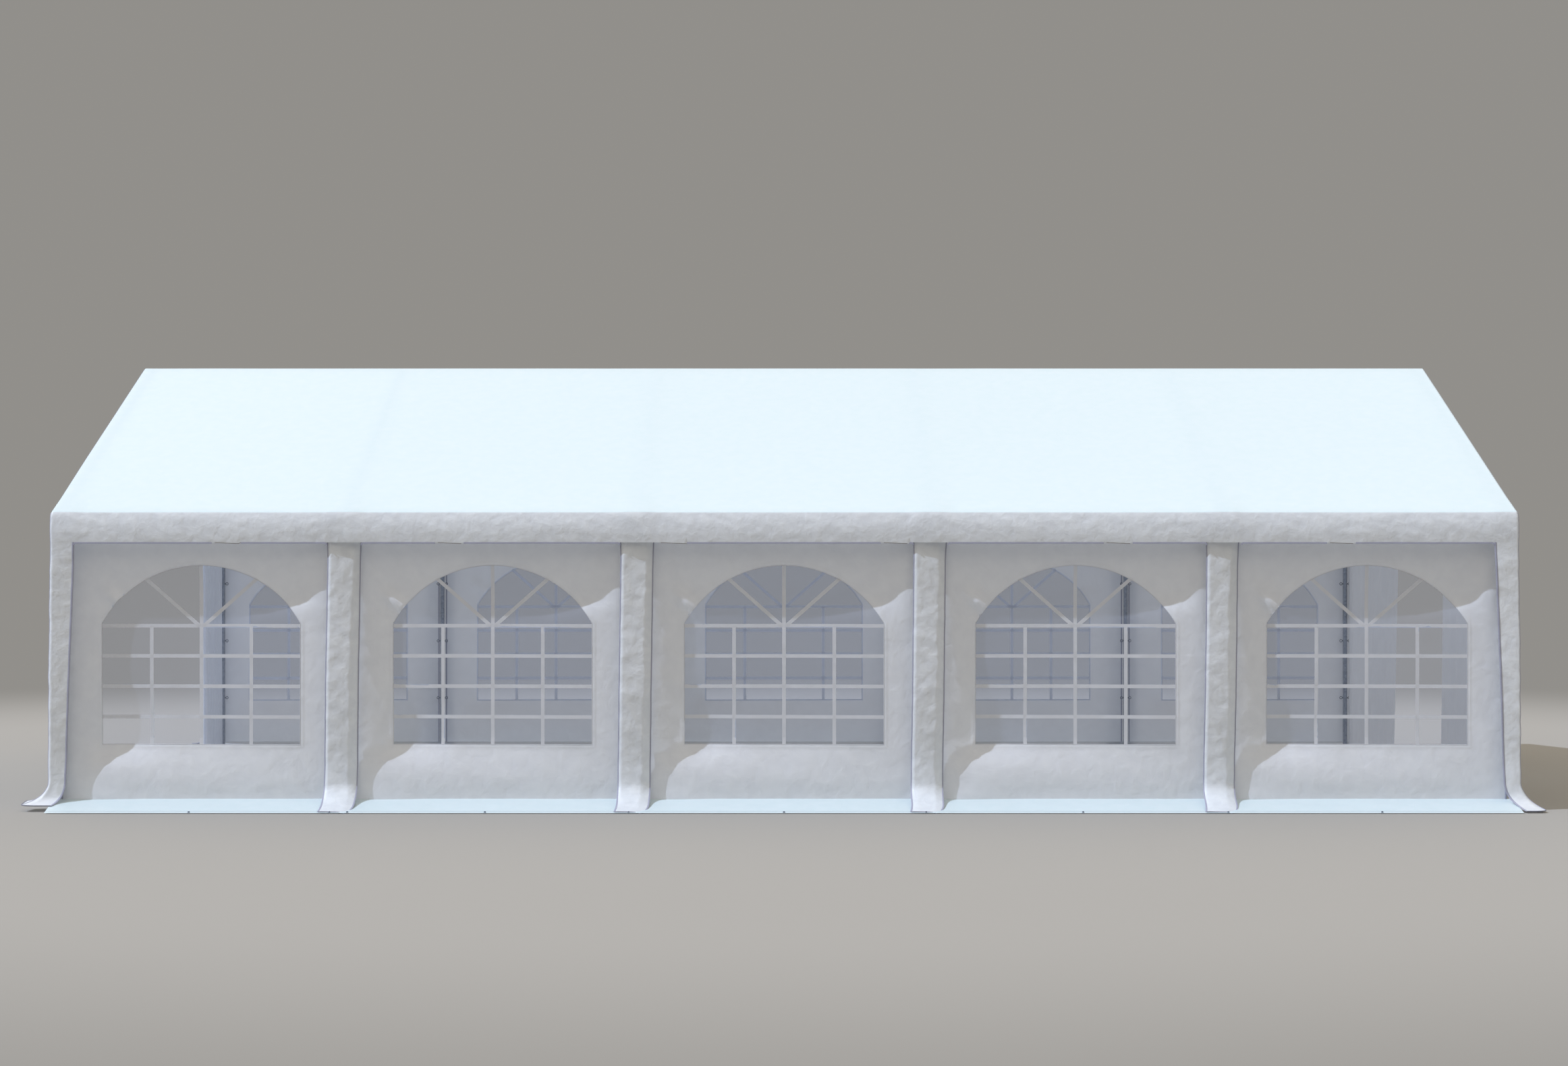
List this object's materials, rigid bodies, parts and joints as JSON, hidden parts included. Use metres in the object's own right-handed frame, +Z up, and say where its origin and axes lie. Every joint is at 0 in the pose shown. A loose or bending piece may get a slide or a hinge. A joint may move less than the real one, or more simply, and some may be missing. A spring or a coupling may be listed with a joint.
{
  "type": "marquee tent",
  "caption": "White gabled marquee tent on a steel tube frame, with arched windows in its long walls, flared leg covers, ground flaps and a doorway in each end.",
  "frame": {"origin": "on the floor under the middle of the tent", "axes": "+X along the tent to the right as seen from the front, +Y from the front wall to the back wall, +Z up"},
  "size_m": [10.41, 6.4, 3.1899],
  "materials": {
    "roof_cloth": "white coated cloth, satin",
    "leg_cover_cloth": "white coated cloth, satin",
    "wall_cloth": "white coated cloth, satin",
    "clear_film": "clear soft film with pale printed bars",
    "galvanised_steel": "galvanised, dull"
  },
  "bodies": {
    "root": {"front_post_1": "galvanised_steel", "front_post_2": "galvanised_steel", "front_post_3": "galvanised_steel", "front_post_4": "galvanised_steel", "front_post_5": "galvanised_steel", "front_post_6": "galvanised_steel", "back_post_1": "galvanised_steel", "back_post_2": "galvanised_steel", "back_post_3": "galvanised_steel", "back_post_4": "galvanised_steel", "back_post_5": "galvanised_steel", "back_post_6": "galvanised_steel", "rafter_pair_1": "galvanised_steel", "rafter_pair_2": "galvanised_steel", "rafter_pair_3": "galvanised_steel", "rafter_pair_4": "galvanised_steel", "rafter_pair_5": "galvanised_steel", "rafter_pair_6": "galvanised_steel", "eave_rail_front": "galvanised_steel", "eave_rail_back": "galvanised_steel", "ridge_rail": "galvanised_steel", "end_rail_left": "galvanised_steel", "end_rail_right": "galvanised_steel", "roof_cover_front": "roof_cloth", "roof_cover_back": "roof_cloth", "gable_panel_left": "roof_cloth", "gable_panel_right": "roof_cloth", "front_leg_cover_2": "leg_cover_cloth", "front_leg_cover_3": "leg_cover_cloth", "front_leg_cover_4": "leg_cover_cloth", "front_leg_cover_5": "leg_cover_cloth", "back_leg_cover_2": "leg_cover_cloth", "back_leg_cover_3": "leg_cover_cloth", "back_leg_cover_4": "leg_cover_cloth", "back_leg_cover_5": "leg_cover_cloth", "corner_cover_front_left": "leg_cover_cloth", "corner_cover_front_right": "leg_cover_cloth", "corner_cover_back_left": "leg_cover_cloth", "corner_cover_back_right": "leg_cover_cloth", "front_wall": "wall_cloth", "back_wall": "wall_cloth", "ground_flap_front": "wall_cloth", "ground_flap_back": "wall_cloth", "end_curtain_left_front": "wall_cloth", "end_curtain_left_back": "wall_cloth", "end_curtain_right_front": "wall_cloth", "end_curtain_right_back": "wall_cloth", "front_window_film": "clear_film", "back_window_film": "clear_film"}
  },
  "joints": []
}
